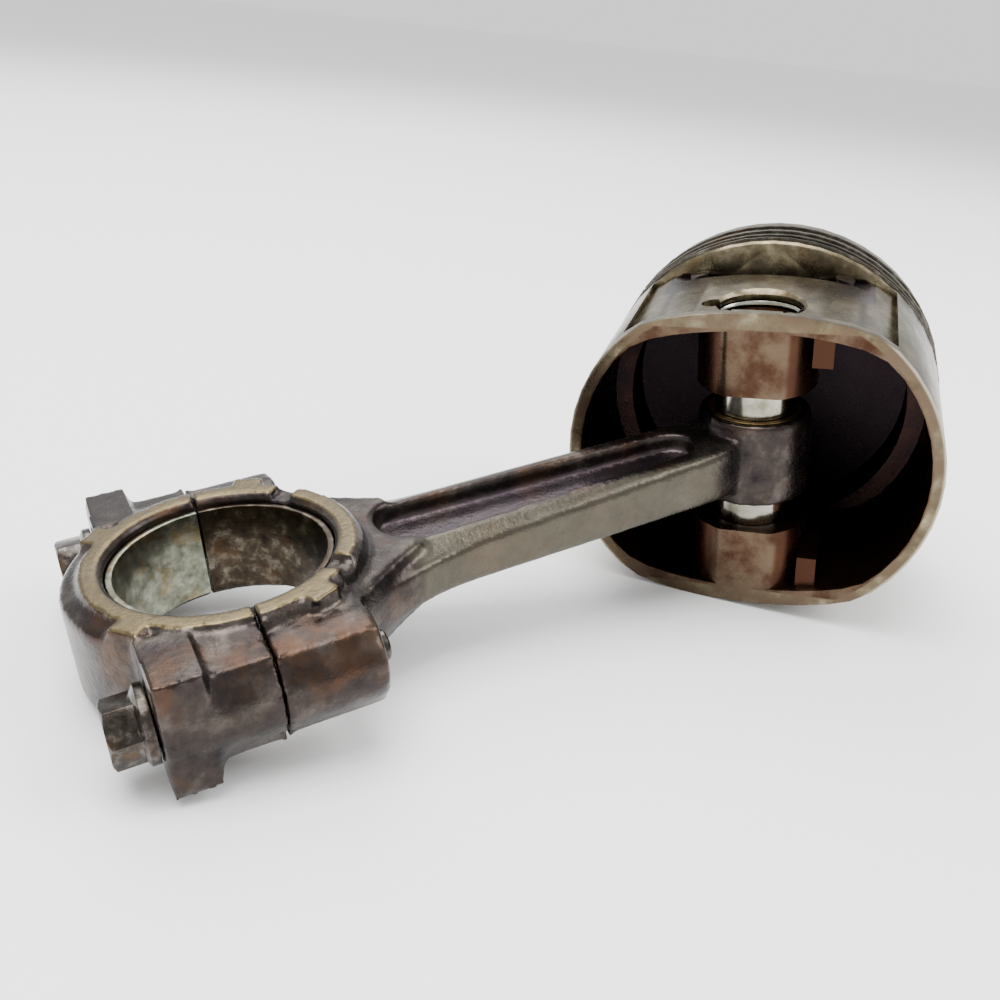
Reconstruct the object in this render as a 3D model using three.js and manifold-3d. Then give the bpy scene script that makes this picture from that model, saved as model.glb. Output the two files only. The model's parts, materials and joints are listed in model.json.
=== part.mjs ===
// Piston and connecting-rod assembly of a four-stroke engine, lying on its side.
// Millimetres, +Z up. The wrist pin's axis is the local Z of the assembly, the rod runs
// along its local X, and the whole assembly is tipped onto the ground at the end.
import * as THREE from 'three';
import { mergeVertices } from 'three/addons/utils/BufferGeometryUtils.js';
import Module from 'manifold-3d';

const wasm = await Module();
wasm.setup();

// ---- Driving dimensions (mm, degrees) ----
const FIT = 0.3; // free gap between two pieces that touch
const ROD_CENTRES = 145; // crankpin centre to wrist-pin centre
const SWING = 45; // piston axis against the rod, as it lies
// It lies on the skirt's lip, the ring belt and the big end's lower thrust face, which
// tips the wrist pin's axis by these two turns.
const REST_ROLL = -0.654; // about X
const REST_PITCH = -10.048; // about Y

// Piston: X along the piston axis towards the crown, Z along the wrist pin
const BORE_R = 48; // cylinder bore radius
const LAND_R = 47.4; // ring lands
const SKIRT_R = 47.8; // thrust faces of the skirt
const PANEL_Z = 41.7; // middle of the flattened pin sides
const PANEL_CROWN_R = 110; // gentle bulge of the flattened sides
const SKIRT_END = -14; // open end of the skirt
const SKIRT_LIP = 3.4; // width of the raised lip round the open end
const PANEL_STEP = 1.4; // the pin sides lie this far under the lip and the thrust faces
const PANEL_EDGE = 33.5; // the step, from the middle of the pin side
const BELT_START = 33; // underside of the ring belt
const CROWN_TOP = 55;
const GROOVE_ROOT_R = 43.2;
const OIL_GROOVE = [35, 39.4];
const SECOND_GROOVE = [42.6, 44.4];
const TOP_GROOVE = [47.8, 49.6];
const SKIRT_WALL = 3.2;
const BELT_INNER_R = 39.5;
const CROWN_UNDERSIDE = 47.5;
const PIN_BOSS_R = 15.5;
const PIN_BOSS_INNER = 19.4; // inner face of each pin boss, from the middle
const RECESS_FLOOR_Z = 36.4; // cast pocket between the pin boss and the ring belt

// Wrist pin, bush and circlips
const PIN_R = 10.5;
const PIN_BORE_R = 6.2;
const PIN_HALF = 35.2;
const BUSH_WALL = 1.4;
const CIRCLIP_WIRE_R = 0.8;
const CIRCLIP_RING_R = 10.9;
const CIRCLIP_Z = 36.6;

// Rings
const RING_DEPTH = 3.4;
const RING_PARTING = 1.0;

// Connecting rod: X from the crankpin centre towards the wrist pin, Z along the bores
const HOUSING_R = 24.8;
const HOUSING_CHAMFER = 1.2;
const BIG_END_HALF = 13.3; // half width over the thrust faces
const LAND_OUTER_R = 29.8;
const EAR_OUTER_R = 33.2;
const FORGED_HALF = 12.1; // half width of the forged ring under the thrust faces
const ROD_RING_R = 31.4;
const CAP_ARCH_R = 34;
const BOLT_OFFSET = 34;
const BOLT_BOSS_R = 10;
const ROD_SHOULDER = 21.5;
const CAP_SEAT = -23.2; // spot face under the bolt heads
const PARTING_GAP = 0.15;
const SHELL_WALL = 1.5;
const SHELL_HALF = 11;
const SMALL_END_R = 14.8;
const SMALL_END_HALF = 12;
const BEAM_HALF = 7.4; // half height of the beam's flanges
const BEAM_SIDE_HALF = 4.9; // half height of the beam's flat sides
const WEB_HALF = 2.3;

// Cap bolts and dowel sleeves
const BOLT_R = 4;
const BOLT_TIP_R = 3.3;
const BOLT_TIP_END = 24;
const HEX_FLATS = 12;
const HEX_HEIGHT = 6.2;
const FLANGE_R = 8;
const FLANGE_THICKNESS = 2.3;
const HEX_TURN = 19;
const DOWEL_R = 5.7;
const DOWEL_HALF = 5;

const ROUND = 48; // facets on the large round faces
const SMALL_ROUND = 24; // facets on pins, holes and bolts

// ---- Solids ----
const radians = THREE.MathUtils.degToRad;

function signedVolume(positions, triangles) {
  const corner = (i) => new THREE.Vector3().fromArray(positions, 3 * triangles[i]);
  let volume = 0;
  for (let i = 0; i < triangles.length; i += 3) {
    volume += corner(i).dot(corner(i + 1).cross(corner(i + 2))) / 6;
  }
  return volume;
}

// A closed three.js geometry as a solid with its faces pointing out.
function solidOf(geometry) {
  const bare = geometry.clone();
  bare.deleteAttribute('normal');
  bare.deleteAttribute('uv');
  const merged = mergeVertices(bare, 1e-4);
  const positions = new Float32Array(merged.attributes.position.array);
  const triangles = [];
  for (let i = 0; i < merged.index.count; i += 3) {
    const [a, b, c] = [0, 1, 2].map((k) => merged.index.getX(i + k));
    if (a !== b && b !== c && c !== a) triangles.push(a, b, c);
  }
  if (signedVolume(positions, triangles) < 0) triangles.reverse();
  const mesh = new wasm.Mesh({
    numProp: 3,
    vertProperties: positions,
    triVerts: new Uint32Array(triangles),
  });
  return new wasm.Manifold(mesh);
}

function geometryOf(solid) {
  const { vertProperties, triVerts } = solid.getMesh();
  const geometry = new THREE.BufferGeometry();
  geometry.setAttribute('position', new THREE.BufferAttribute(vertProperties, 3));
  geometry.setIndex(new THREE.BufferAttribute(triVerts, 1));
  geometry.computeVertexNormals();
  return geometry;
}

// Turns the geometry's own axis of revolution (three.js's Y) onto X or Z.
function alongAxis(geometry, axis) {
  return axis === 'x' ? geometry.rotateZ(-Math.PI / 2) : geometry.rotateX(Math.PI / 2);
}

// Revolves [radius, height] pairs about X or Z.
function turned(profile, axis, facets = ROUND) {
  const points = profile.map(([radius, height]) => new THREE.Vector2(radius, height));
  return solidOf(alongAxis(new THREE.LatheGeometry(points, facets), axis));
}

function disc(radius, from, to, axis, facets = ROUND) {
  return turned([[0, from], [radius, from], [radius, to], [0, to]], axis, facets);
}

function ring(inner, outer, from, to, axis, facets = ROUND) {
  const profile = [[inner, from], [outer, from], [outer, to], [inner, to], [inner, from]];
  return turned(profile, axis, facets);
}

function block(x, y, z) {
  const size = [x, y, z].map(([from, to]) => to - from);
  const middle = [x, y, z].map(([from, to]) => (from + to) / 2);
  return solidOf(new THREE.BoxGeometry(...size).translate(...middle));
}

// A plate of the given outline in XY, between two heights.
function plate(shape, from, to, curveSegments = 12) {
  const options = { depth: to - from, bevelEnabled: false, curveSegments };
  return solidOf(new THREE.ExtrudeGeometry(shape, options).translate(0, 0, from));
}

// An outline drawn in YZ, extruded along X.
function extrudedAlongX(shape, from, to) {
  const geometry = new THREE.ExtrudeGeometry(shape, { depth: to - from, bevelEnabled: false });
  const turn = new THREE.Matrix4().makeBasis(
    new THREE.Vector3(0, 1, 0),
    new THREE.Vector3(0, 0, 1),
    new THREE.Vector3(1, 0, 0),
  );
  return solidOf(geometry.applyMatrix4(turn).translate(from, 0, 0));
}

function union(...solids) {
  return solids.reduce((whole, solid) => whole.add(solid));
}

function cut(solid, ...tools) {
  return tools.reduce((rest, tool) => rest.subtract(tool), solid);
}

// ---- Piston ----
// Radius of the skirt outline at an angle from the thrust axis: a circle that runs
// smoothly into a flatter arc over the pin.
function skirtRadius(angle, thrustRadius, panelZ) {
  const softness = 1.1;
  const sine = Math.max(Math.abs(Math.sin(angle)), 1e-6);
  const drop = PANEL_CROWN_R - panelZ;
  const panel = -drop * sine + Math.sqrt(PANEL_CROWN_R ** 2 - (drop ** 2) * (1 - sine ** 2));
  const near = Math.min(thrustRadius, panel);
  const far = Math.max(thrustRadius, panel);
  return near - softness * Math.log(1 + Math.exp((near - far) / softness));
}

// The skirt section, extruded along the piston axis.
function skirtPrism(thrustRadius, panelZ, from, to) {
  const points = [];
  for (let i = 0; i < ROUND; i += 1) {
    const angle = (2 * Math.PI * i) / ROUND;
    const radius = skirtRadius(angle, thrustRadius, panelZ);
    points.push(new THREE.Vector2(radius * Math.cos(angle), radius * Math.sin(angle)));
  }
  return extrudedAlongX(new THREE.Shape(points), from, to);
}

function ringBelt() {
  const edge = 0.6;
  const profile = [[0, BELT_START], [LAND_R - edge, BELT_START], [LAND_R, BELT_START + edge]];
  for (const [from, to] of [OIL_GROOVE, SECOND_GROOVE, TOP_GROOVE]) {
    profile.push([LAND_R, from], [GROOVE_ROOT_R, from], [GROOVE_ROOT_R, to], [LAND_R, to]);
  }
  profile.push([LAND_R, CROWN_TOP - edge], [LAND_R - edge, CROWN_TOP], [0, CROWN_TOP]);
  return turned(profile, 'x');
}

// A stretch of the pin's axis on one side of the middle, given by its two distances from there.
function sideSpan(side, near, far) {
  return [side * near, side * far].sort((a, b) => a - b);
}

function pinBoss(side) {
  const outer = PANEL_Z - 2;
  const eye = disc(PIN_BOSS_R, ...sideSpan(side, PIN_BOSS_INNER, outer), 'z', SMALL_ROUND);
  const pillar = block([0, CROWN_UNDERSIDE + 1], [-12, 12], sideSpan(side, PIN_BOSS_INNER + 1, outer));
  const gusset = block([SKIRT_END + 3, 4], [-19, -14], sideSpan(side, PIN_BOSS_INNER + 8, outer));
  return union(eye, pillar, gusset);
}

// The pin hole with its circlip groove and the notch that lets the circlip be prised out.
function pinHole(side) {
  const hole = disc(PIN_R + FIT, 0, side * 60, 'z', SMALL_ROUND);
  const grooveR = CIRCLIP_RING_R + CIRCLIP_WIRE_R + FIT;
  const half = CIRCLIP_WIRE_R + FIT;
  const groove = disc(grooveR, side * (CIRCLIP_Z - half), side * (CIRCLIP_Z + half), 'z', SMALL_ROUND);
  const mouth = turned(
    [[0, side * 39], [PIN_R + FIT, side * 39], [PIN_R + 2.8, side * 41.5], [0, side * 41.5]],
    'z',
    SMALL_ROUND,
  );
  const notch = disc(3, side * 35.5, side * 50, 'z', 16).translate([0, PIN_R + 1.6, 0]);
  return union(hole, groove, mouth, notch);
}

function castPocket(side) {
  const [from, to] = [RECESS_FLOOR_Z, 60].map((z) => side * z).sort((a, b) => a - b);
  const pocket = block([24.5, BELT_START], [-29, 29], [from, to]);
  const nubs = [-1, 1].map((hand) => disc(2.7, side * 35, side * 41.6, 'z', 16)
    .translate([BELT_START - 3, hand * 19.7, 0]));
  return cut(pocket, ...nubs);
}

// The flattened pin sides are a step lower than the lip and the thrust faces.
function panelStep() {
  const [from, to] = [SKIRT_END + SKIRT_LIP, BELT_START];
  const band = block([from, to], [-PANEL_EDGE, PANEL_EDGE], [-60, 60]);
  return cut(band, skirtPrism(SKIRT_R - PANEL_STEP, PANEL_Z - PANEL_STEP, from - 1, to + 1));
}

function pistonBody() {
  const skirt = skirtPrism(SKIRT_R, PANEL_Z, SKIRT_END, BELT_START + 1);
  const skirtInside = skirtPrism(
    SKIRT_R - SKIRT_WALL,
    PANEL_Z - SKIRT_WALL - PANEL_STEP,
    SKIRT_END - 1,
    BELT_START - 1,
  );
  const hollow = union(skirtInside, disc(BELT_INNER_R, BELT_START - 2, CROWN_UNDERSIDE, 'x'));
  const bosses = union(pinBoss(1), pinBoss(-1)).intersect(union(skirt, ringBelt()));
  const shell = cut(union(skirt, ringBelt()), hollow);
  const tools = [1, -1].flatMap((side) => [pinHole(side), castPocket(side)]);
  return cut(union(shell, bosses), panelStep(), ...tools);
}

// ---- Rings ----
function splitRing(outer, depth, [from, to], gapAngle) {
  const whole = ring(outer - depth, outer, from, to, 'x');
  const gap = block([from - 1, to + 1], [outer - depth - 1, outer + 1], [-RING_PARTING / 2, RING_PARTING / 2]);
  return cut(whole, gap).rotate([gapAngle, 0, 0]);
}

// A spring band with open windows, so that oil runs through it.
function oilExpander([from, to]) {
  const windows = 12;
  const middle = (from + to) / 2;
  let band = splitRing(BORE_R - 0.9, 2.6, [from, to], 200);
  for (let i = 0; i < windows; i += 1) {
    const window = block([middle - 0.6, middle + 0.6], [40, 50], [-2.2, 2.2]);
    band = cut(band, window.rotate([200 + (360 * (i + 0.5)) / windows, 0, 0]));
  }
  return band;
}

// ---- Wrist pin group ----
function wristPin() {
  const edge = 0.8;
  const profile = [
    [PIN_BORE_R, -PIN_HALF + 1.5],
    [PIN_BORE_R + 1.5, -PIN_HALF],
    [PIN_R - edge, -PIN_HALF],
    [PIN_R, -PIN_HALF + edge],
    [PIN_R, PIN_HALF - edge],
    [PIN_R - edge, PIN_HALF],
    [PIN_BORE_R + 1.5, PIN_HALF],
    [PIN_BORE_R, PIN_HALF - 1.5],
    [PIN_BORE_R, -PIN_HALF + 1.5],
  ];
  return turned(profile, 'z', 36);
}

function circlip(side) {
  const wire = solidOf(new THREE.TorusGeometry(CIRCLIP_RING_R, CIRCLIP_WIRE_R, 6, 28));
  const opening = block([-4.5, 4.5], [-20, -6], [-2, 2]);
  return cut(wire, opening).translate([0, 0, side * CIRCLIP_Z]);
}

// ---- Connecting rod ----
// Half of the beam's outline from the big-end shoulder to the small end, then mirrored.
function beamOutline() {
  const shape = new THREE.Shape();
  const tangent = Math.sqrt(SMALL_END_R ** 2 - 9.5 ** 2);
  shape.moveTo(12, 34);
  shape.lineTo(19, 32);
  shape.quadraticCurveTo(31, 17.5, 56, 15);
  shape.lineTo(120, 11.9);
  shape.quadraticCurveTo(128, 11.4, ROD_CENTRES - tangent, 9.5);
  shape.lineTo(ROD_CENTRES, 0);
  shape.lineTo(ROD_CENTRES - tangent, -9.5);
  shape.quadraticCurveTo(128, -11.4, 120, -11.9);
  shape.lineTo(56, -15);
  shape.quadraticCurveTo(31, -17.5, 19, -32);
  shape.lineTo(12, -34);
  return shape;
}

// The drafted flange tops: a roof-shaped section that runs along the beam.
function beamSection(from, to) {
  const shape = new THREE.Shape();
  const crest = 9.5;
  const foot = 15;
  shape.moveTo(-foot, -BEAM_SIDE_HALF);
  shape.lineTo(-crest, -BEAM_HALF);
  shape.lineTo(crest, -BEAM_HALF);
  shape.lineTo(foot, -BEAM_SIDE_HALF);
  shape.lineTo(foot, BEAM_SIDE_HALF);
  shape.lineTo(crest, BEAM_HALF);
  shape.lineTo(-crest, BEAM_HALF);
  shape.lineTo(-foot, BEAM_SIDE_HALF);
  return extrudedAlongX(shape, from, to);
}

// The channel between the flanges, on one face of the beam.
function channel(side) {
  const shape = new THREE.Shape();
  shape.moveTo(44, 8.6);
  shape.lineTo(117, 5.8);
  shape.quadraticCurveTo(124, 5.2, 124, 0);
  shape.quadraticCurveTo(124, -5.2, 117, -5.8);
  shape.lineTo(44, -8.6);
  shape.quadraticCurveTo(36, -8.6, 36, 0);
  shape.quadraticCurveTo(36, 8.6, 44, 8.6);
  const [from, to] = [WEB_HALF, 20].map((z) => side * z).sort((a, b) => a - b);
  return plate(shape, from, to, 5);
}

// Everything that both halves of the big end lose: the housing bore with its chamfers and
// the bolt holes with the counterbores of the dowel sleeves.
function bigEndCuts() {
  const straight = BIG_END_HALF - HOUSING_CHAMFER;
  const flared = HOUSING_R + HOUSING_CHAMFER + 1;
  const bore = turned(
    [
      [0, -BIG_END_HALF - 1],
      [flared, -BIG_END_HALF - 1],
      [HOUSING_R, -straight],
      [HOUSING_R, straight],
      [flared, BIG_END_HALF + 1],
      [0, BIG_END_HALF + 1],
    ],
    'z',
  );
  const holes = [-1, 1].map((hand) => union(
    disc(BOLT_R + FIT, -50, 50, 'x', SMALL_ROUND),
    disc(DOWEL_R + FIT, -DOWEL_HALF - FIT, DOWEL_HALF + FIT, 'x', SMALL_ROUND),
  ).translate([0, hand * BOLT_OFFSET, 0]));
  return union(bore, ...holes);
}

// A raised ear of the machined thrust face, at an angle round the bore.
function ear(angle) {
  const pad = block([LAND_OUTER_R - 3, EAR_OUTER_R], [-3.6, 3.6], [-BIG_END_HALF, BIG_END_HALF]);
  return pad.rotate([0, 0, angle]);
}

function thrustLand() {
  return disc(LAND_OUTER_R, -BIG_END_HALF, BIG_END_HALF, 'z');
}

function boltBoss(hand, from, to, half) {
  const outer = BOLT_OFFSET + BOLT_BOSS_R - 0.8;
  const round = disc(BOLT_BOSS_R, from, to, 'x', SMALL_ROUND).translate([0, hand * BOLT_OFFSET, 0]);
  const [near, far] = [20, outer - 3].map((y) => hand * y).sort((a, b) => a - b);
  return union(round, block([from, to], [near, far], [-half, half]));
}

function connectingRod() {
  const outline = beamOutline();
  const drafted = plate(outline, -BEAM_HALF, BEAM_HALF).intersect(beamSection(20, ROD_CENTRES));
  const beam = union(plate(outline, -BEAM_SIDE_HALF, BEAM_SIDE_HALF), drafted);
  const eye = disc(SMALL_END_R, -SMALL_END_HALF, SMALL_END_HALF, 'z', 36).translate([ROD_CENTRES, 0, 0]);
  const shoulder = new THREE.Shape();
  shoulder.moveTo(0, 31);
  shoulder.lineTo(20, 30);
  shoulder.quadraticCurveTo(31, 19, 42, 13);
  shoulder.lineTo(42, -13);
  shoulder.quadraticCurveTo(31, -19, 20, -30);
  shoulder.lineTo(0, -31);
  const forged = union(
    disc(ROD_RING_R, -FORGED_HALF, FORGED_HALF, 'z'),
    plate(shoulder, -BEAM_HALF - 1, BEAM_HALF + 1, 6),
    boltBoss(1, 0, ROD_SHOULDER, 9.4),
    boltBoss(-1, 0, ROD_SHOULDER, 9.4),
  );
  const lands = union(thrustLand(), ear(64), ear(-64));
  const reliefs = [-1, 1].flatMap((hand) => [-1, 1].map((side) => {
    const slot = block([24, 40], [-2.6, 2.6], [FORGED_HALF - 0.6, 20]);
    const turnedSlot = slot.rotate([0, 0, hand * 43]);
    return side > 0 ? turnedSlot : turnedSlot.mirror([0, 0, 1]);
  }));
  const whole = union(cut(union(forged, beam), channel(1), channel(-1)), lands, eye);
  const eyeBore = disc(PIN_R + FIT + BUSH_WALL + FIT, -20, 20, 'z', 36).translate([ROD_CENTRES, 0, 0]);
  const capSide = block([-60, PARTING_GAP], [-60, 60], [-30, 30]);
  return cut(whole, bigEndCuts(), eyeBore, capSide, ...reliefs);
}

function rodCap() {
  const arch = disc(CAP_ARCH_R, -FORGED_HALF + 0.8, FORGED_HALF - 0.8, 'z');
  const lands = union(thrustLand(), ear(138), ear(-138));
  const bosses = [-1, 1].map((hand) => {
    const [near, far] = [25, BOLT_OFFSET + 9].map((y) => hand * y).sort((a, b) => a - b);
    const pad = block([CAP_SEAT, CAP_SEAT + 10], [near, far], [-FORGED_HALF - 0.6, FORGED_HALF + 0.6]);
    return union(boltBoss(hand, CAP_SEAT, 0, 10.2), pad);
  });
  const seats = [-1, 1].map((hand) => {
    const [near, far] = [BOLT_OFFSET - FLANGE_R - 1.4, 60].map((y) => hand * y).sort((a, b) => a - b);
    return block([-60, CAP_SEAT], [near, far], [-30, 30]);
  });
  const rodSide = block([-PARTING_GAP, 60], [-60, 60], [-30, 30]);
  return cut(union(arch, lands, ...bosses), bigEndCuts(), rodSide, ...seats);
}

function smallEndBush() {
  const inner = PIN_R + FIT;
  const half = SMALL_END_HALF - 0.4;
  return ring(inner, inner + BUSH_WALL, -half, half, 'z', 36).translate([ROD_CENTRES, 0, 0]);
}

function bearingShell(hand) {
  const outer = HOUSING_R - FIT;
  const whole = ring(outer - SHELL_WALL, outer, -SHELL_HALF, SHELL_HALF, 'z');
  const [from, to] = [hand * -60, hand * PARTING_GAP].sort((a, b) => a - b);
  return cut(whole, block([from, to], [-60, 60], [-30, 30]));
}

// ---- Fasteners ----
function capBolt() {
  const seat = CAP_SEAT - FIT;
  const flangeTop = seat - FLANGE_THICKNESS;
  const headEnd = flangeTop - HEX_HEIGHT;
  const corner = HEX_FLATS / Math.sqrt(3);
  const shank = turned(
    [
      [0, headEnd + 1],
      [4, headEnd + 1],
      [FLANGE_R - 1.6, flangeTop - 0.4],
      [FLANGE_R, flangeTop + 0.5],
      [FLANGE_R, seat],
      [BOLT_R, seat],
      [BOLT_R, ROD_SHOULDER - 1.5],
      [BOLT_TIP_R, ROD_SHOULDER - 0.5],
      [BOLT_TIP_R, BOLT_TIP_END - 0.5],
      [BOLT_TIP_R - 0.5, BOLT_TIP_END],
      [0, BOLT_TIP_END],
    ],
    'x',
    SMALL_ROUND,
  );
  const hexPrism = new THREE.CylinderGeometry(corner, corner, HEX_HEIGHT + 1, 6);
  const hex = solidOf(alongAxis(hexPrism, 'x').translate(headEnd + (HEX_HEIGHT + 1) / 2, 0, 0));
  const chamfer = turned(
    [[0, headEnd], [corner - 1, headEnd], [corner + 1, headEnd + 1.2], [corner + 1, 0], [0, 0]],
    'x',
    SMALL_ROUND,
  );
  return union(shank, hex.intersect(chamfer)).rotate([HEX_TURN, 0, 0]);
}

function dowelSleeve() {
  return ring(BOLT_R + FIT, DOWEL_R, -DOWEL_HALF, DOWEL_HALF, 'x', SMALL_ROUND);
}

// ---- Materials and assembly ----
const FINISHES = {
  castAluminium: { color: 0x8f8672, roughness: 0.42, metalness: 0.85 },
  ringIron: { color: 0x55534f, roughness: 0.35, metalness: 0.9 },
  groundPin: { color: 0xa8a7a2, roughness: 0.18, metalness: 1.0 },
  springWire: { color: 0x4d4b4a, roughness: 0.4, metalness: 0.9 },
  bushBronze: { color: 0x9a7440, roughness: 0.35, metalness: 0.9 },
  forgedSteel: { color: 0x4b4240, roughness: 0.45, metalness: 0.85 },
  bearingMetal: { color: 0x8d8c7c, roughness: 0.3, metalness: 0.9 },
  boltSteel: { color: 0x6f6a66, roughness: 0.3, metalness: 0.95 },
};

function piece(name, solid, finish) {
  const mesh = new THREE.Mesh(geometryOf(solid), new THREE.MeshStandardMaterial(FINISHES[finish]));
  mesh.name = name;
  return mesh;
}

function inset([from, to], gap) {
  return [from + gap, to - gap];
}

const piston = new THREE.Group();
piston.rotation.z = radians(SWING);
const [oilFrom, oilTo] = OIL_GROOVE;
const railWidth = 0.6;
piston.add(
  piece('piston_body', pistonBody(), 'castAluminium'),
  piece('compression_ring_top', splitRing(BORE_R, RING_DEPTH, inset(TOP_GROOVE, FIT), 35), 'ringIron'),
  piece('compression_ring_second', splitRing(BORE_R, RING_DEPTH, inset(SECOND_GROOVE, FIT), 155), 'ringIron'),
  piece('oil_ring_rail_top', splitRing(BORE_R, 3, [oilTo - FIT - railWidth, oilTo - FIT], 245), 'ringIron'),
  piece('oil_ring_expander', oilExpander(inset(OIL_GROOVE, 2 * FIT + railWidth)), 'springWire'),
  piece('oil_ring_rail_bottom', splitRing(BORE_R, 3, [oilFrom + FIT, oilFrom + FIT + railWidth], 290), 'ringIron'),
  piece('wrist_pin', wristPin(), 'groundPin'),
  piece('wrist_pin_circlip_upper', circlip(1), 'springWire'),
  piece('wrist_pin_circlip_lower', circlip(-1), 'springWire'),
);

const rod = new THREE.Group();
rod.position.x = -ROD_CENTRES;
rod.add(
  piece('connecting_rod', connectingRod(), 'forgedSteel'),
  piece('small_end_bush', smallEndBush(), 'bushBronze'),
  piece('rod_cap', rodCap(), 'forgedSteel'),
  piece('bearing_shell_rod_side', bearingShell(1), 'bearingMetal'),
  piece('bearing_shell_cap_side', bearingShell(-1), 'bearingMetal'),
);
for (const [place, hand] of [['near', -1], ['far', 1]]) {
  const bolt = piece(`cap_bolt_${place}`, capBolt(), 'boltSteel');
  const dowel = piece(`dowel_sleeve_${place}`, dowelSleeve(), 'boltSteel');
  for (const mesh of [bolt, dowel]) {
    mesh.position.y = hand * BOLT_OFFSET;
    rod.add(mesh);
  }
}

// The ground is at Z = 0, and the middle of the assembly's box is over the origin.
const assembly = new THREE.Group();
assembly.rotation.set(radians(REST_ROLL), radians(REST_PITCH), 0);
assembly.add(piston, rod);
const extent = new THREE.Box3().setFromObject(assembly, true);
const middle = extent.getCenter(new THREE.Vector3());
assembly.position.set(-middle.x, -middle.y, -extent.min.z);

export default assembly;
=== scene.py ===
"""A used engine piston on its forged connecting rod, lying on its side."""

import json
import logging
import math
from dataclasses import dataclass, field
from enum import Enum
from typing import Any, Sequence

import bmesh
import bpy
from mathutils import Matrix, Vector


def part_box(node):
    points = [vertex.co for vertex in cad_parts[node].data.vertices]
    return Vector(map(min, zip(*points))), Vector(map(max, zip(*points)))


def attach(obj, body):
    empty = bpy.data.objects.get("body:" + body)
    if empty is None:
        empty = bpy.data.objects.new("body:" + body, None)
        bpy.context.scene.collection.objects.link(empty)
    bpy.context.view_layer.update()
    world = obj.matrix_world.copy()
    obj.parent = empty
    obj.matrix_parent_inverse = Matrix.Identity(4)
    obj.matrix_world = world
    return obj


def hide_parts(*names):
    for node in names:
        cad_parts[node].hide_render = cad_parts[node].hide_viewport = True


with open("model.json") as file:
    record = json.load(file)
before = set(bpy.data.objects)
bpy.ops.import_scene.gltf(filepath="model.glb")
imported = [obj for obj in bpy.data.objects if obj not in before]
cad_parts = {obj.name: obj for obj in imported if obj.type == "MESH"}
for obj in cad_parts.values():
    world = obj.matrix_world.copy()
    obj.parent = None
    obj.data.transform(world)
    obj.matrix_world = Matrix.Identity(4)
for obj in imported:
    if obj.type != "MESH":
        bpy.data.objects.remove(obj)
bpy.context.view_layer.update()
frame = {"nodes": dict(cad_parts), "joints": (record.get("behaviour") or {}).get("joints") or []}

LOG = logging.getLogger("piston_and_rod")
MM = 0.001
MARK_MM = 0.35
MERGE_M = 1e-6
FLAT_DEG = 0.6
SMOOTH_DEG = 38.0
BLANK_EDGE_MM = 0.0001
BLANK_SHARP_DEG = 179.0
PARTING_MM = 1.1
CRANK_BORE_MM = 27.5
THRUST_MM = 12.6
BIG_END_REACH_MM = 40.0
FLOOR_RADIUS_M = 60.0
FLOOR_DROP_M = 0.0002
Colour = tuple[float, float, float]
Point = tuple[float, float, float]
Span = tuple[float, float]


class Lay(Enum):
    """The direction that fine tool marks run over a worked surface."""

    NONE = "none"
    ALONG_PIN = "along_pin"
    ALONG_ROD = "along_rod"


@dataclass(frozen=True)
class Axes:
    """A right-handed set of directions and the point they start from, in metres."""

    origin: Vector
    along: Vector
    across: Vector
    pin: Vector


class Field:
    """A shader socket that takes part in Python arithmetic."""

    def __init__(self, shade: "Shade", socket: Any) -> None:
        """Keeps the socket and the shade that makes its nodes."""
        self.shade = shade
        self.socket = socket

    def _math(self, operation: str, *values: Any) -> "Field":
        """Adds one Math node working on the values given."""
        return self.shade.node("ShaderNodeMath", {"operation": operation}, list(values))

    def __add__(self, other: Any) -> "Field":
        """Sum."""
        return self._math("ADD", self, other)

    def __radd__(self, other: Any) -> "Field":
        """Sum, with the number first."""
        return self._math("ADD", other, self)

    def __sub__(self, other: Any) -> "Field":
        """Difference."""
        return self._math("SUBTRACT", self, other)

    def __rsub__(self, other: Any) -> "Field":
        """Difference, with the number first."""
        return self._math("SUBTRACT", other, self)

    def __mul__(self, other: Any) -> "Field":
        """Product."""
        return self._math("MULTIPLY", self, other)

    def __rmul__(self, other: Any) -> "Field":
        """Product, with the number first."""
        return self._math("MULTIPLY", other, self)

    def size(self) -> "Field":
        """The value without its sign."""
        return self._math("ABSOLUTE", self)

    def root(self) -> "Field":
        """Square root."""
        return self._math("SQRT", self)

    def rise(self, low: float, high: float) -> "Field":
        """Goes smoothly from 0 at low to 1 at high.

        Args:
            low: the value that gives 0.
            high: the value that gives 1.

        Returns:
            A mask from 0 to 1.
        """
        settings = {"interpolation_type": "SMOOTHSTEP", "clamp": True}
        limits = {"Value": self, "From Min": low, "From Max": high}
        return self.shade.node("ShaderNodeMapRange", settings, limits)


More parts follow.
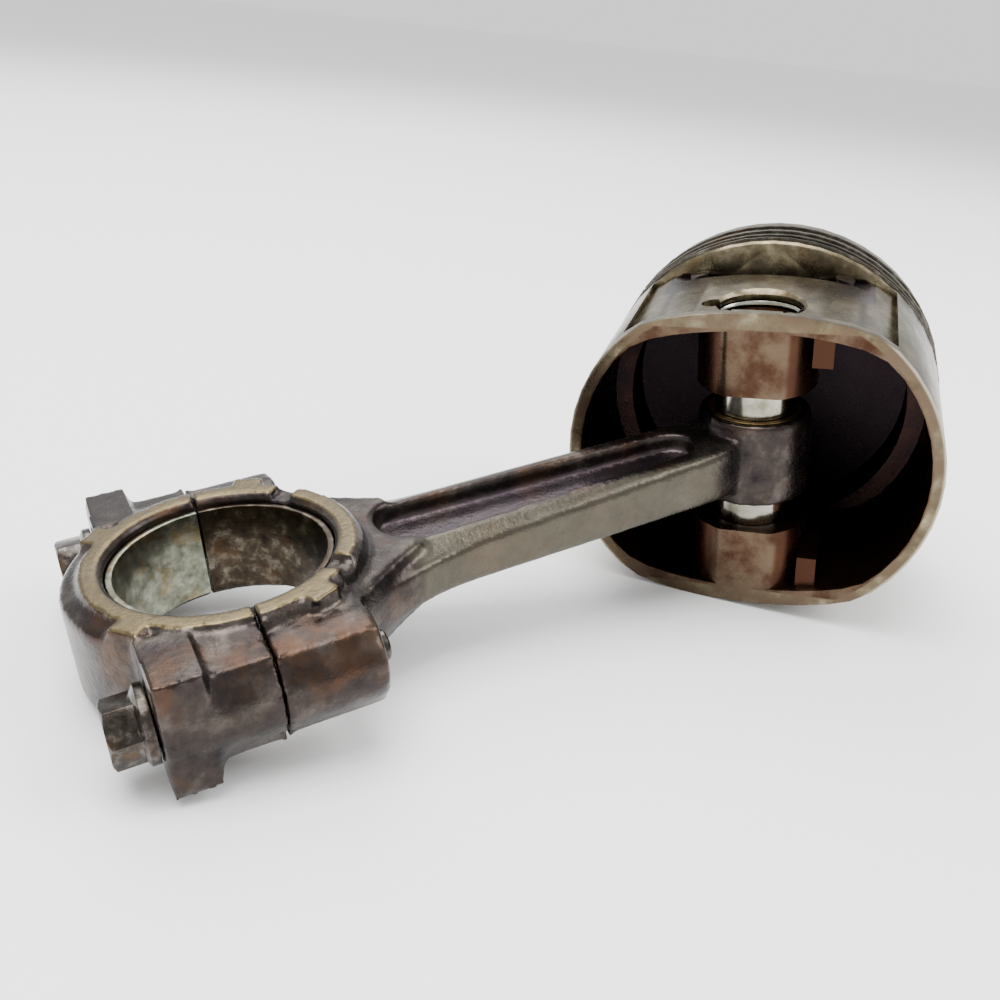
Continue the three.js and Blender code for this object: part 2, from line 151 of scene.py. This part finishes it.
class Shade:
    """Makes the nodes of one material."""

    def __init__(self, name: str) -> None:
        """Starts an empty material with an output."""
        self.material = bpy.data.materials.new(name)
        self.material.use_nodes = True
        self.tree = self.material.node_tree
        self.tree.nodes.clear()

    def node(self, kind: str, settings: dict[str, Any], inputs: Any, output: Any = 0) -> Field:
        """Adds a node, sets it up and joins its inputs.

        Args:
            kind: the node's type.
            settings: attributes set before the inputs; "stops" fills a colour ramp.
            inputs: values or fields by socket name, or in order as a list.
            output: which output comes back.

        Returns:
            The chosen output.
        """
        made = self.tree.nodes.new(kind)
        for key, value in settings.items():
            if key == "stops":
                self._ramp(made.color_ramp, value)
            else:
                setattr(made, key, value)
        pairs = inputs.items() if isinstance(inputs, dict) else enumerate(inputs)
        for key, value in pairs:
            if isinstance(value, Field):
                self.tree.links.new(value.socket, made.inputs[key])
            else:
                made.inputs[key].default_value = value
        return Field(self, made.outputs[output])

    @staticmethod
    def _opaque(colour: Any) -> Any:
        """A plain colour with full opacity; anything else as it is."""
        return (*colour, 1.0) if isinstance(colour, tuple) else colour

    @staticmethod
    def _ramp(ramp: Any, stops: Sequence[tuple[float, Colour]]) -> None:
        """Fills a colour ramp with (position, colour) stops."""
        while len(ramp.elements) < len(stops):
            ramp.elements.new(1.0)
        for element, (place, colour) in zip(ramp.elements, stops):
            element.position = place
            element.color = (*colour, 1.0)

    def position(self) -> Field:
        """The point on the surface, in metres."""
        return self.node("ShaderNodeTexCoord", {}, {}, "Object")

    def distance_along(self, axes: Axes, direction: Vector) -> Field:
        """Millimetres from the axes' origin along a direction."""
        offset = self.node(
            "ShaderNodeVectorMath", {"operation": "SUBTRACT"}, [self.position(), tuple(axes.origin)]
        )
        step = tuple(direction / MM)
        return self.node("ShaderNodeVectorMath", {"operation": "DOT_PRODUCT"}, [offset, step], "Value")

    def noise(self, size_mm: float, detail: float = 4.0, rough: float = 0.55, stretch: Any = None) -> Field:
        """Noise whose features are about size_mm across.

        Args:
            size_mm: the feature size.
            detail: octaves of finer noise.
            rough: how strong the finer octaves are.
            stretch: a vector field used in place of the position.

        Returns:
            The noise, from 0 to 1.
        """
        where = stretch if stretch is not None else self.position()
        inputs = {"Vector": where, "Scale": 1.0 / (size_mm * MM), "Detail": detail, "Roughness": rough}
        return self.node("ShaderNodeTexNoise", {}, inputs, 0)

    def mix(self, factor: Any, below: Any, above: Any) -> Field:
        """Mixes two colours."""
        made = self.tree.nodes.new("ShaderNodeMix")
        made.data_type = "RGBA"
        for index, value in ((0, factor), (6, self._opaque(below)), (7, self._opaque(above))):
            if isinstance(value, Field):
                self.tree.links.new(value.socket, made.inputs[index])
            else:
                made.inputs[index].default_value = value
        return Field(self, made.outputs[2])

    def finish(
        self, colour: Field, rough: Field, metal: float, height: Field, depth_mm: float
    ) -> bpy.types.Material:
        """Joins everything to the surface shader.

        Args:
            colour: the base colour.
            rough: the roughness.
            metal: how metallic the surface is.
            height: the relief, from 0 to 1.
            depth_mm: how deep the relief is.

        Returns:
            The finished material.
        """
        bump = self.node("ShaderNodeBump", {}, {"Strength": 1.0, "Distance": depth_mm * MM, "Height": height})
        inputs = {"Base Color": colour, "Roughness": rough, "Metallic": metal, "Normal": bump}
        shader = self.node("ShaderNodeBsdfPrincipled", {}, inputs)
        output = self.tree.nodes.new("ShaderNodeOutputMaterial")
        self.tree.links.new(shader.socket, output.inputs["Surface"])
        return self.material


@dataclass(frozen=True)
class WorkedMetal:
    """A metal with stains, grain, wear and the marks of how it was made."""

    name: str
    dark: Colour
    middle: Colour
    light: Colour
    stain: Colour
    stain_amount: float = 0.4
    metal: float = 0.85
    rough_low: float = 0.28
    rough_high: float = 0.55
    stain_mm: float = 14.0
    grain_mm: float = 0.7
    relief_mm: float = 0.05
    lay: Lay = Lay.NONE
    marks: float = 0.25

    def tool_marks(self, shade: Shade, axes: Axes) -> Field | None:
        """Fine marks, or None for a surface without any."""
        if self.lay is Lay.NONE:
            return None
        across = shade.distance_along(axes, axes.along if self.lay is Lay.ALONG_PIN else axes.pin)
        spread = shade.node("ShaderNodeCombineXYZ", {}, [across * MM, 0.0, 0.0])
        return shade.noise(MARK_MM, 3.0, 0.6, spread)

    def colour(self, shade: Shade, axes: Axes) -> Field:
        """The mottled colour of the bare metal under its stains."""
        blotch = shade.noise(self.stain_mm * 0.45, 6.0, 0.62)
        stops = [(0.30, self.dark), (0.52, self.middle), (0.74, self.light)]
        bare = shade.node("ShaderNodeValToRGB", {"stops": stops}, {"Fac": blotch}, 0)
        stained = shade.noise(self.stain_mm, 5.0, 0.6).rise(0.50, 0.68) * self.stain_amount
        return shade.mix(stained, bare, self.stain)

    def build(self, axes: Axes) -> bpy.types.Material:
        """Makes the material.

        Args:
            axes: the directions that tool marks follow.

        Returns:
            The material.
        """
        shade = Shade(self.name)
        grain = shade.noise(self.grain_mm, 5.0, 0.6)
        smear = shade.noise(self.stain_mm * 0.7, 4.0, 0.6)
        marks = self.tool_marks(shade, axes)
        height = grain if marks is None else grain * (1.0 - self.marks) + marks * self.marks
        rough = smear * (self.rough_high - self.rough_low) + self.rough_low + (grain - 0.5) * 0.08
        return shade.finish(self.colour(shade, axes), rough, self.metal, height, self.relief_mm)


@dataclass(frozen=True)
class PistonAlloy(WorkedMetal):
    """Cast aluminium: pale outside, varnished copper-brown inside with painted shade deeper in the hollow and
    painted highlights on the bosses, painted shade in the side pockets, painted highlights on the pocket's nubs,
    and a rosy rim with a painted highlight on its outer edge.
    """

    inner_brown: Colour = (0.042, 0.018, 0.010)
    # Painted shade: the darker brown the inside takes deeper in the hollow.
    inner_deep_shade: Colour = (0.009, 0.006, 0.007)
    rim: Colour = (0.100, 0.070, 0.046)
    # Painted highlight for the rim's outer edge.
    rim_edge_highlight: Colour = (0.40, 0.36, 0.28)
    # Painted highlight for the tops of the nubs.
    painted_nub_highlight: Colour = (0.44, 0.41, 0.36)
    # Painted shade for the recessed pocket beside the pin bore.
    pocket_shade: Colour = (0.034, 0.025, 0.030)
    # Painted highlight on the pin bosses inside.
    lit_boss_copper: Colour = (0.058, 0.025, 0.013)
    skirt_inner: Span = (44.9 - 0.3, 44.9 + 0.3)
    flat_inner: Span = (37.4 - 0.3, 37.4 + 0.3)
    crown_under: Span = (48.5, 50.0)
    boss_radius: Span = (15.0, 18.0)
    boss_reach: Span = (33.0, 36.0)
    boss_rib: Span = (13.4, 14.6)
    rim_height: Span = (-13.6, -12.4)
    rim_radius: Span = (46.9, 47.6)
    pocket_floor: Span = (35.9, 36.2)
    pocket_mouth: Span = (38.0, 40.5)
    pocket_low: Span = (12.0, 16.0)
    pocket_high: Span = (31.0, 33.0)
    nub_top: Span = (40.0, 40.6)
    nub_low: Span = (27.0, 27.6)
    nub_high: Span = (32.4, 33.0)
    nub_near: Span = (16.6, 17.2)
    nub_far: Span = (22.2, 22.8)

    def colour(self, shade: Shade, axes: Axes) -> Field:
        """Outside, inside and rim each get their own tint, with painted shade deeper inside and in the pockets,
        and painted highlights on the bosses, the nubs and the rim's edge.
        """
        outside = WorkedMetal.colour(self, shade, axes)
        along = shade.distance_along(axes, axes.along)
        across = shade.distance_along(axes, axes.across)
        pin = shade.distance_along(axes, axes.pin)
        radius = (across * across + pin * pin).root()
        reach = pin.size()
        beside = across.size()
        within = (1.0 - radius.rise(*self.skirt_inner)) * (1.0 - reach.rise(*self.flat_inner))
        hollow = within * (1.0 - along.rise(*self.crown_under))
        # Noise that breaks up the painted shade inside, the painted highlight on the bosses and the rim's tint.
        patches_of_shade_highlight_and_rim = shade.noise(9.0, 5.0, 0.6)
        # Painted shade: the inside darkens towards the crown's underside, deeper in the hollow.
        depth_shade = (along * 0.022 + (patches_of_shade_highlight_and_rim - 0.5) * 0.9).rise(0.05, 0.95)
        inside = shade.mix(depth_shade, self.inner_brown, self.inner_deep_shade)
        boss = (along * along + across * across).root()
        # Painted highlight: lighter copper on the pin bosses inside, broken up by noise and kept off the ribs.
        lit_boss = (1.0 - boss.rise(*self.boss_radius)) * (1.0 - reach.rise(*self.boss_reach))
        lit_boss = lit_boss * patches_of_shade_highlight_and_rim.rise(0.35, 0.6) * (1.0 - across.rise(*self.boss_rib))
        inside = shade.mix(lit_boss * 0.75, inside, self.lit_boss_copper)
        rim = 1.0 - along.rise(*self.rim_height)
        faced = shade.mix(hollow, outside, inside)
        # Painted shade: the recessed pocket beside the pin bore is painted dark navy-purple.
        pocket_shade = reach.rise(*self.pocket_floor) * (1.0 - reach.rise(*self.pocket_mouth))
        pocket_shade = pocket_shade * along.rise(*self.pocket_low) * (1.0 - along.rise(*self.pocket_high))
        faced = shade.mix(pocket_shade * 0.9, faced, self.pocket_shade)
        # Painted highlight: the tops of the two nubs in the pocket are painted lighter.
        painted_nub_highlight = reach.rise(*self.nub_top) * along.rise(*self.nub_low) * (1.0 - along.rise(*self.nub_high))
        painted_nub_highlight = painted_nub_highlight * beside.rise(*self.nub_near) * (1.0 - beside.rise(*self.nub_far))
        faced = shade.mix(painted_nub_highlight * 0.8, faced, self.painted_nub_highlight)
        rimmed = shade.mix(rim * patches_of_shade_highlight_and_rim.rise(0.30, 0.62), faced, self.rim)
        # Painted highlight: a lighter band along the rim's outer edge.
        return shade.mix(rim * radius.rise(*self.rim_radius) * 0.8, rimmed, self.rim_edge_highlight)


@dataclass(frozen=True)
class ForgedSteel(WorkedMetal):
    """Oily forging with tan ground thrust faces and grey-olive ground shank sides."""

    thrust: Colour = (0.125, 0.096, 0.046)
    flank: Colour = (0.092, 0.084, 0.062)
    channel: Colour = (0.048, 0.036, 0.045)
    rust: Colour = (0.030, 0.016, 0.010)
    face_reach: Span = (13.0 - 0.15, 13.0 + 0.1)
    face_end: Span = (36.0, 38.0)
    shank_start: Span = (36.0, 42.0)
    shank_end: Span = (122.0, 128.0)
    flank_out: Span = (9.4, 10.6)
    web_in: Span = (8.5, 9.5)
    web_depth: Span = (2.6, 4.6)
    seam_width: Span = (0.3, 1.2)

    def colour(self, shade: Shade, axes: Axes) -> Field:
        """Forging skin, with each machined face in its own tint."""
        skin = WorkedMetal.colour(self, shade, axes)
        along = shade.distance_along(axes, axes.along)
        across = shade.distance_along(axes, axes.across)
        pin = shade.distance_along(axes, axes.pin)
        mottle = shade.noise(2.2, 5.0, 0.6)
        reach = pin.size()
        beside = across.size()
        shank = along.rise(*self.shank_start) * (1.0 - along.rise(*self.shank_end))
        side = beside.rise(*self.flank_out) * shank
        web = (1.0 - reach.rise(*self.web_depth)) * (1.0 - beside.rise(*self.web_in)) * shank
        faced = reach.rise(*self.face_reach) * (1.0 - along.rise(*self.face_end))
        coloured = shade.mix(side * (mottle * 0.5 + 0.4), skin, self.flank)
        coloured = shade.mix(web * (mottle * 0.5 + 0.35), coloured, self.channel)
        coloured = shade.mix(faced * (mottle * 0.9 + 0.40), coloured, self.thrust)
        seam = 1.0 - along.size().rise(*self.seam_width)
        return shade.mix(seam * mottle * 0.5, coloured, self.rust)


class Stock:
    """Every finish this object uses."""

    alloy = PistonAlloy("piston_alloy", (0.050, 0.040, 0.026), (0.135, 0.112, 0.068), (0.30, 0.262, 0.175),
                        (0.115, 0.070, 0.030), stain_amount=0.55, metal=0.95, rough_low=0.18, rough_high=0.38,
                        relief_mm=0.03, lay=Lay.ALONG_PIN, marks=0.5)
    forged = ForgedSteel("oily_forging", (0.012, 0.009, 0.010), (0.036, 0.029, 0.026), (0.100, 0.084, 0.072),
                         (0.075, 0.036, 0.018), stain_amount=0.55, metal=0.92, rough_low=0.17, rough_high=0.38,
                         grain_mm=1.3, relief_mm=0.13, stain_mm=18.0)
    shell = WorkedMetal("scored_bearing_metal", (0.075, 0.078, 0.055), (0.20, 0.205, 0.155), (0.38, 0.39, 0.32),
                        (0.20, 0.125, 0.030), stain_amount=0.65, metal=0.95, rough_low=0.14, rough_high=0.32,
                        stain_mm=6.0, relief_mm=0.03, lay=Lay.ALONG_ROD, marks=0.6)
    # Painted shade: a darker, browner copy of the bearing metal for the rod-side shell.
    shaded_brown_shell = WorkedMetal("shaded_brown_bearing_metal", (0.012, 0.009, 0.007), (0.045, 0.034, 0.023),
                             (0.17, 0.155, 0.12), (0.060, 0.030, 0.012), stain_amount=0.6, metal=0.95,
                             rough_low=0.15, rough_high=0.34, stain_mm=7.0, relief_mm=0.04,
                             lay=Lay.ALONG_ROD, marks=0.5)
    ground = WorkedMetal("ground_pin_steel", (0.17, 0.165, 0.125), (0.34, 0.33, 0.28), (0.52, 0.51, 0.47),
                         (0.14, 0.12, 0.055), stain_amount=0.5, metal=1.0, rough_low=0.10, rough_high=0.22,
                         relief_mm=0.01, lay=Lay.ALONG_ROD, marks=0.7)
    bolt = WorkedMetal("oily_bolt_steel", (0.016, 0.013, 0.011), (0.052, 0.044, 0.037), (0.17, 0.155, 0.14),
                       (0.095, 0.050, 0.018), stain_amount=0.5, metal=0.97, rough_low=0.13, rough_high=0.30,
                       stain_mm=5.0, grain_mm=0.5, relief_mm=0.025)
    ring = WorkedMetal("ring_iron", (0.020, 0.017, 0.014), (0.060, 0.053, 0.042), (0.15, 0.14, 0.115),
                       (0.055, 0.032, 0.014), stain_amount=0.5, stain_mm=8.0, relief_mm=0.02, metal=0.95,
                       rough_low=0.2, rough_high=0.4, lay=Lay.ALONG_PIN, marks=0.5)
    bronze = WorkedMetal("bush_bronze", (0.08, 0.045, 0.016), (0.20, 0.125, 0.048), (0.36, 0.25, 0.11),
                         (0.045, 0.026, 0.012), stain_amount=0.5, stain_mm=6.0, relief_mm=0.02, metal=0.95,
                         rough_low=0.2, rough_high=0.4, lay=Lay.ALONG_ROD, marks=0.5)


def joint(name: str) -> dict[str, Any]:
    """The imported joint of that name."""
    return next(entry for entry in frame["joints"] if entry["name"] == name)


def assembly_axes() -> tuple[Axes, Axes]:
    """The rod's axes at the crankpin bore and the piston's at the wrist pin.

    Returns:
        The rod's axes, then the piston's.
    """
    swing = joint("piston_swing")
    pin_centre = Vector(swing["pos_m"])
    pin = Vector(swing["axis"]).normalized()
    crown = Vector(joint("top_ring_turn")["axis"]).normalized()
    low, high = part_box("bearing_shell_cap_side")
    other_low, other_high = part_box("bearing_shell_rod_side")
    bore = (low + high + other_low + other_high) / 4.0
    along = pin_centre - bore
    along = (along - pin * along.dot(pin)).normalized()
    piston = Axes(pin_centre, crown, pin.cross(crown).normalized(), pin)
    rod = Axes(bore, along, pin.cross(along).normalized(), pin)
    return rod, piston


def worked_copy(
    node: str, name: str, edge_mm: float, segments: int = 3, sharp_deg: float = 32.0
) -> bpy.types.Object:
    """A copy of a CAD node with its sharp edges broken.

    Args:
        node: the CAD node.
        name: the new piece's name.
        edge_mm: how wide the broken edge is.
        segments: how many steps the broken edge has.
        sharp_deg: the angle above which an edge is broken.

    Returns:
        The new piece, at the origin.
    """
    work = bmesh.new()
    work.from_mesh(frame["nodes"][node].data)
    bmesh.ops.remove_doubles(work, verts=work.verts, dist=MERGE_M)
    flat = math.radians(FLAT_DEG)
    bmesh.ops.dissolve_limit(work, angle_limit=flat, verts=work.verts, edges=work.edges)
    limit = math.radians(sharp_deg)
    edges = [e for e in work.edges if e.is_manifold and e.calc_face_angle(0.0) > limit]
    bmesh.ops.bevel(work, geom=edges, offset=edge_mm * MM, offset_type="OFFSET", affect="EDGES",
                    segments=segments, profile=0.5, material=-1, clamp_overlap=True)
    bmesh.ops.triangulate(work, faces=[f for f in work.faces if len(f.verts) > 4])
    for face in work.faces:
        face.smooth = True
    for edge in work.edges:
        edge.smooth = not edge.is_manifold or edge.calc_face_angle(0.0) < math.radians(SMOOTH_DEG)
    mesh = bpy.data.meshes.new(name)
    work.to_mesh(mesh)
    work.free()
    piece = bpy.data.objects.new(name, mesh)
    bpy.context.scene.collection.objects.link(piece)
    return piece


def is_forged_skin(point: Vector, axes: Axes) -> bool:
    """Whether a point of the rod is on rough forging and not near a machined face.

    Args:
        point: the point, in metres.
        axes: the rod's axes.

    Returns:
        True on rough forging.
    """
    offset = (point - axes.origin) / MM
    along, across, pin = offset.dot(axes.along), offset.dot(axes.across), abs(offset.dot(axes.pin))
    parting = abs(along) < PARTING_MM
    crank_bore = math.hypot(along, across) < CRANK_BORE_MM
    thrust = pin > THRUST_MM and along < BIG_END_REACH_MM
    return not (parting or crank_bore or thrust)


def forged_copy(
    node: str, name: str, axes: Axes, grain_mm: float, rounds: int, soft_rounds: int
) -> bpy.types.Object:
    """A copy of a CAD node rounded over as a forging is.

    Args:
        node: the CAD node.
        name: the new piece's name.
        axes: the rod's axes, which say where the machined faces are.
        grain_mm: the size of the mesh's cells.
        rounds: how many times every face is eased.
        soft_rounds: how many more times the forged skin is eased.

    Returns:
        The new piece, at the origin.
    """
    source = worked_copy(node, name + "_blank", BLANK_EDGE_MM, 1, BLANK_SHARP_DEG)
    remesh = source.modifiers.new("cells", "REMESH")
    remesh.mode = "VOXEL"
    remesh.voxel_size = grain_mm * MM
    remesh.adaptivity = 0.0
    seen = source.evaluated_get(bpy.context.evaluated_depsgraph_get())
    mesh = bpy.data.meshes.new_from_object(seen)
    bpy.data.objects.remove(source)
    work = bmesh.new()
    work.from_mesh(mesh)
    skin = [vert for vert in work.verts if is_forged_skin(vert.co, axes)]
    for verts, times in ((work.verts, rounds), (skin, soft_rounds)):
        for _ in range(times):
            bmesh.ops.smooth_vert(
                work, verts=verts, factor=0.5, use_axis_x=True, use_axis_y=True, use_axis_z=True
            )
    for face in work.faces:
        face.smooth = True
    work.to_mesh(mesh)
    work.free()
    mesh.name = name
    piece = bpy.data.objects.new(name, mesh)
    bpy.context.scene.collection.objects.link(piece)
    return piece


@dataclass
class SubAssembly:
    """Pieces that ride together."""

    axes: Axes
    made: list[bpy.types.Object] = field(default_factory=list)

    def place(self, piece: bpy.types.Object, node: str, body: str, slot: str, finish: WorkedMetal) -> None:
        """Finishes a piece and lets it stand for its CAD node.

        Args:
            piece: the new piece.
            node: the CAD node it stands for.
            body: the body it moves with.
            slot: the record's material slot; not used.
            finish: its finish.
        """
        piece.data.materials.clear()
        piece.data.materials.append(finish.build(self.axes))
        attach(piece, body)
        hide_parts(node)
        self.made.append(piece)


@dataclass
class Piston(SubAssembly):
    """The piston, its rings and its circlips."""

    edge_mm: float = 0.35
    ring_edge_mm: float = 0.12

    def build(self) -> None:
        """Makes and dresses the piston's pieces."""
        body = worked_copy("piston_body", "piston_casting", self.edge_mm)
        self.place(body, "piston_body", "piston", "cast_aluminium", Stock.alloy)
        rings = {"compression_ring_top": "top_ring", "compression_ring_second": "second_ring",
                 "oil_ring_rail_top": "oil_rail_top", "oil_ring_rail_bottom": "oil_rail_bottom"}
        for node, rides in rings.items():
            piece = worked_copy(node, node + "_ground", self.ring_edge_mm, 2)
            self.place(piece, node, rides, "ring_iron", Stock.ring)
        expander = worked_copy("oil_ring_expander", "oil_expander_strip", 0.08, 1)
        self.place(expander, "oil_ring_expander", "oil_expander", "spring_wire", Stock.bolt)
        for side in ("upper", "lower"):
            clip = worked_copy("wrist_pin_circlip_" + side, "circlip_wire_" + side, 0.2, 2)
            self.place(clip, "wrist_pin_circlip_" + side, "piston", "spring_wire", Stock.ground)
        pin = worked_copy("wrist_pin", "ground_wrist_pin", 0.5, 4)
        self.place(pin, "wrist_pin", "wrist_pin", "ground_pin", Stock.ground)


@dataclass
class Rod(SubAssembly):
    """The rod, its cap, shells, bush, bolts and sleeves."""

    cell_mm: float = 0.6
    rounds: int = 1
    soft_rounds: int = 26
    body: str = "rod_assembly"

    def build(self) -> None:
        """Makes and dresses the rod's pieces."""
        for node, name in (("connecting_rod", "forged_rod"), ("rod_cap", "forged_cap")):
            piece = forged_copy(node, name, self.axes, self.cell_mm, self.rounds, self.soft_rounds)
            self.place(piece, node, self.body, "forged_steel", Stock.forged)
        # The rod-side shell gets the darker bearing metal, which is painted shade with a browner tone.
        shells = {"bearing_shell_rod_side": Stock.shaded_brown_shell, "bearing_shell_cap_side": Stock.shell}
        for node, finish in shells.items():
            piece = worked_copy(node, node + "_plated", 0.25)
            self.place(piece, node, self.body, "bearing_metal", finish)
        bush = worked_copy("small_end_bush", "bored_bush", 0.2)
        self.place(bush, "small_end_bush", self.body, "bush_bronze", Stock.bronze)
        for end in ("near", "far"):
            bolt = worked_copy("cap_bolt_" + end, "flange_bolt_" + end, 0.35)
            self.place(bolt, "cap_bolt_" + end, self.body, "bolt_steel", Stock.bolt)
            sleeve = worked_copy("dowel_sleeve_" + end, "sleeve_" + end, 0.15)
            self.place(sleeve, "dowel_sleeve_" + end, self.body, "bolt_steel", Stock.bolt)


@dataclass(frozen=True)
class Softbox:
    """One soft light."""

    name: str
    place: Point
    target: Point
    size: float
    power: float


class Studio:
    """The floor, the lights and the camera."""

    lights = (
        Softbox("key_softbox", (-0.45, -0.10, 1.60), (0.0, 0.0, 0.03), 1.2, 46.0),
        Softbox("side_softbox", (1.10, -0.50, 1.30), (0.02, 0.0, 0.03), 1.0, 22.0),
        Softbox("back_softbox", (0.1, 1.20, 1.50), (0.0, 0.0, 0.03), 1.2, 24.0),
    )

    def floor(self) -> None:
        """A wide pale floor."""
        work = bmesh.new()
        bmesh.ops.create_circle(work, cap_ends=True, radius=FLOOR_RADIUS_M, segments=96)
        bmesh.ops.translate(work, verts=work.verts, vec=(0.0, 0.0, -FLOOR_DROP_M))
        mesh = bpy.data.meshes.new("pale_floor")
        work.to_mesh(mesh)
        work.free()
        floor = bpy.data.objects.new("pale_floor", mesh)
        bpy.context.scene.collection.objects.link(floor)
        shade = Shade("pale_floor_paper")
        fibre = shade.noise(1.5, 4.0, 0.5)
        colour = shade.mix(fibre, (0.92, 0.92, 0.915), (0.95, 0.95, 0.945))
        floor.data.materials.append(shade.finish(colour, fibre * 0.05 + 0.8, 0.0, fibre, 0.01))

    def light(self) -> None:
        """Soft boxes and an even pale surround."""
        for box in self.lights:
            lamp = bpy.data.lights.new(box.name, "AREA")
            lamp.size = box.size
            lamp.energy = box.power
            holder = bpy.data.objects.new(box.name, lamp)
            aim = Vector(box.target) - Vector(box.place)
            holder.matrix_world = Matrix.Translation(box.place) @ aim.to_track_quat("-Z", "Y").to_matrix().to_4x4()
            bpy.context.scene.collection.objects.link(holder)
        world = bpy.data.worlds.new("pale_surround")
        world.use_nodes = True
        backdrop = world.node_tree.nodes["Background"]
        backdrop.inputs["Color"].default_value = (1.0, 1.0, 1.0, 1.0)
        backdrop.inputs["Strength"].default_value = 1.15
        bpy.context.scene.world = world

    def camera(self) -> None:
        """The viewpoint: low, in front of the big end, looking along towards the piston."""
        right = Vector((0.89299, -0.43835, 0.10213)).normalized()
        look = Vector((0.44304, 0.81609, -0.37109)).normalized()
        up = right.cross(look).normalized()
        turn = Matrix((right, up, -look)).transposed().to_4x4()
        lens = bpy.data.cameras.new("viewpoint")
        lens.sensor_width = 36.0
        lens.lens = 38.44
        lens.shift_x = 0.0237
        lens.shift_y = -0.0431
        lens.clip_start = 0.01
        lens.clip_end = 200.0
        holder = bpy.data.objects.new("viewpoint", lens)
        holder.matrix_world = Matrix.Translation((-0.14304, -0.21918, 0.14061)) @ turn
        bpy.context.scene.collection.objects.link(holder)
        bpy.context.scene.camera = holder


def main() -> None:
    """Builds the object and the studio in order."""
    logging.basicConfig(level=logging.INFO, format="%(name)s: %(message)s")
    rod_axes, piston_axes = assembly_axes()
    for group in (Piston(piston_axes), Rod(rod_axes)):
        group.build()
        for piece in group.made:
            count = sum(len(face.vertices) - 2 for face in piece.data.polygons)
            LOG.info("%s: %d triangles", piece.name, count)
    studio = Studio()
    studio.floor()
    studio.light()
    studio.camera()


if __name__ == "__main__":
    main()
